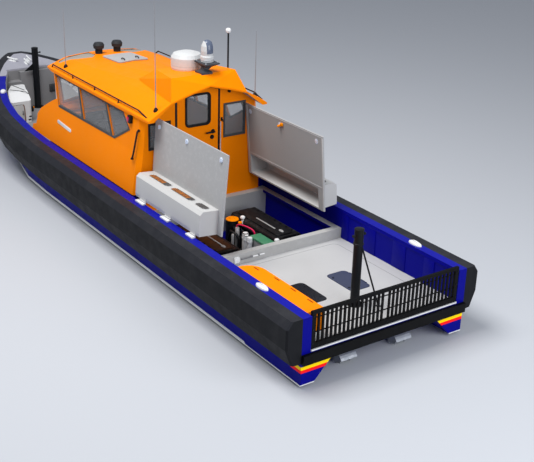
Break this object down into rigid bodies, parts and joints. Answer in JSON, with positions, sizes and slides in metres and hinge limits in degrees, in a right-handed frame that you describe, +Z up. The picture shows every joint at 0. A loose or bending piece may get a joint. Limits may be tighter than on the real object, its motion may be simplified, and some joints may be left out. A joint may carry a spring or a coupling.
{
  "type": "inshore rescue boat",
  "caption": "Decked rescue boat with fender collar, hollow wheelhouse with a hinged door, open engine bay under two raised lids, aft working deck and steering waterjets.",
  "frame": {"origin": "on the waterline and the centre line, directly below the transom's aft face", "axes": "+X forward along the keel, +Y to port, +Z up from the water"},
  "size_m": [12.49, 3.228, 5.3538],
  "materials": {
    "hull_paint": "gloss blue paint",
    "hull_bottom": "matt black bottom paint",
    "deck_grey": "satin grey non-slip paint",
    "fender_rubber": "satin dark foam-filled fender skin",
    "pale_deck": "satin pale grey deck paint",
    "smoked_panel": "smoked glossy hatch panel",
    "black_metal": "satin black paint",
    "orange_paint": "gloss orange paint",
    "engine_paint": "dark engine enamel",
    "service_green": "green enamel",
    "lid_grey": "satin grey paint",
    "white_gelcoat": "gloss white moulding",
    "window_frame": "satin black frame",
    "window_glass": "tinted glass",
    "black_plastic": "matt black moulding",
    "cabin_grey": "matt dark grey moulding",
    "seat_fabric": "grey seat cloth",
    "jet_alloy": "cast alloy, anodised grey"
  },
  "bodies": {
    "hull": {"hull_topsides": "hull_paint", "hull_bottom": "hull_bottom", "bow_deck": "deck_grey", "fender_port": "fender_rubber", "fender_starboard": "fender_rubber", "transom_band": "fender_rubber", "aft_deck": "pale_deck", "transom_grille": "black_metal", "aft_towing_post": "black_metal", "bow_towing_post": "black_metal", "side_locker": "orange_paint", "engine_coaming": "pale_deck", "engines": "engine_paint", "engine_services": "service_green", "foredeck_liner": "deck_grey", "bow_step": "deck_grey", "bow_locker_port": "white_gelcoat", "bow_locker_starboard": "white_gelcoat", "wheelhouse_side_port": "orange_paint", "wheelhouse_side_starboard": "orange_paint", "side_window_frame_port": "window_frame", "side_window_frame_starboard": "window_frame", "side_glass_port": "window_glass", "side_glass_starboard": "window_glass", "wheelhouse_aft_bulkhead": "orange_paint", "aft_window_starboard": "window_frame", "aft_window_port": "window_frame", "wheelhouse_front": "orange_paint", "windscreen_glass": "window_glass", "roof": "orange_paint", "skylight_port": "window_glass", "skylight_starboard": "window_glass", "roof_rail_port": "black_metal", "roof_rail_starboard": "black_metal", "radome": "white_gelcoat", "camera_pedestal": "window_frame", "aerial": "black_metal", "whip_fore": "black_metal", "whip_aft_port": "black_metal", "whip_aft_starboard": "black_metal", "dashboard": "cabin_grey", "seats_port": "seat_fabric", "seats_starboard": "seat_fabric", "jet_unit_port": "jet_alloy", "jet_unit_starboard": "jet_alloy"},
    "hatch_lid_port": {"hatch_lid_port": "lid_grey"},
    "hatch_lid_starboard": {"hatch_lid_starboard": "lid_grey"},
    "cabin_door": {"cabin_door": "orange_paint", "door_window": "window_frame"},
    "roof_hatch": {"roof_hatch": "lid_grey"},
    "deck_hatch_port": {"deck_hatch_port": "smoked_panel"},
    "deck_hatch_starboard": {"deck_hatch_starboard": "smoked_panel"},
    "side_locker_lid": {"side_locker_lid": "orange_paint"},
    "jet_nozzle_port": {"jet_nozzle_port": "jet_alloy"},
    "jet_nozzle_starboard": {"jet_nozzle_starboard": "jet_alloy"},
    "jet_bucket_port": {"jet_bucket_port": "jet_alloy"},
    "jet_bucket_starboard": {"jet_bucket_starboard": "jet_alloy"},
    "camera_turret": {"camera_turret": "white_gelcoat"},
    "searchlight_port": {"searchlight_port": "black_plastic"},
    "searchlight_starboard": {"searchlight_starboard": "black_plastic"}
  },
  "joints": [
    {"name": "hatch_lid_port_hinge", "type": "hinge", "parent": "hull", "child": "hatch_lid_port", "pos_m": [3.573, 1.241, 1.027], "axis": [1, 0, 0], "range_deg": [0, 85.2]},
    {"name": "hatch_lid_starboard_hinge", "type": "hinge", "parent": "hull", "child": "hatch_lid_starboard", "pos_m": [3.573, -1.241, 1.027], "axis": [-1, 0, 0], "range_deg": [0, 85.2]},
    {"name": "cabin_door_hinge", "type": "hinge", "parent": "hull", "child": "cabin_door", "pos_m": [4.612, 0.441, 1.65], "axis": [0, 0, -1], "range_deg": [0, 90]},
    {"name": "roof_hatch_hinge", "type": "hinge", "parent": "hull", "child": "roof_hatch", "pos_m": [7.516, 0, 2.4661], "axis": [0, 1, 0], "range_deg": [0, 90]},
    {"name": "deck_hatch_port_hinge", "type": "hinge", "parent": "hull", "child": "deck_hatch_port", "pos_m": [1.27, 0.557, 0.53], "axis": [-1, 0, 0], "range_deg": [0, 100]},
    {"name": "deck_hatch_starboard_hinge", "type": "hinge", "parent": "hull", "child": "deck_hatch_starboard", "pos_m": [1.27, -0.557, 0.53], "axis": [1, 0, 0], "range_deg": [0, 100]},
    {"name": "side_locker_lid_hinge", "type": "hinge", "parent": "hull", "child": "side_locker_lid", "pos_m": [1, 1.228, 0.94], "axis": [-1, 0, 0], "range_deg": [0, 85]},
    {"name": "jet_steer_port", "type": "hinge", "parent": "hull", "child": "jet_nozzle_port", "pos_m": [0.35, 0.475, 0.01], "axis": [0, 0, 1], "range_deg": [-27, 27]},
    {"name": "jet_steer_starboard", "type": "hinge", "parent": "hull", "child": "jet_nozzle_starboard", "pos_m": [0.35, -0.475, 0.01], "axis": [0, 0, 1], "range_deg": [-27, 27]},
    {"name": "jet_bucket_port_hinge", "type": "hinge", "parent": "jet_nozzle_port", "child": "jet_bucket_port", "pos_m": [0.3, 0.475, 0.01], "axis": [0, -1, 0], "range_deg": [0, 60]},
    {"name": "jet_bucket_starboard_hinge", "type": "hinge", "parent": "jet_nozzle_starboard", "child": "jet_bucket_starboard", "pos_m": [0.3, -0.475, 0.01], "axis": [0, -1, 0], "range_deg": [0, 60]},
    {"name": "camera_pan", "type": "hinge", "parent": "hull", "child": "camera_turret", "pos_m": [4.64, -0.11, 3.08], "axis": [0, 0, 1], "continuous": true},
    {"name": "searchlight_port_pan", "type": "hinge", "parent": "hull", "child": "searchlight_port", "pos_m": [7.84, 0.18, 2.56], "axis": [0, 0, 1], "range_deg": [-170, 170]},
    {"name": "searchlight_starboard_pan", "type": "hinge", "parent": "hull", "child": "searchlight_starboard", "pos_m": [7.84, -0.18, 2.56], "axis": [0, 0, 1], "range_deg": [-170, 170]}
  ]
}
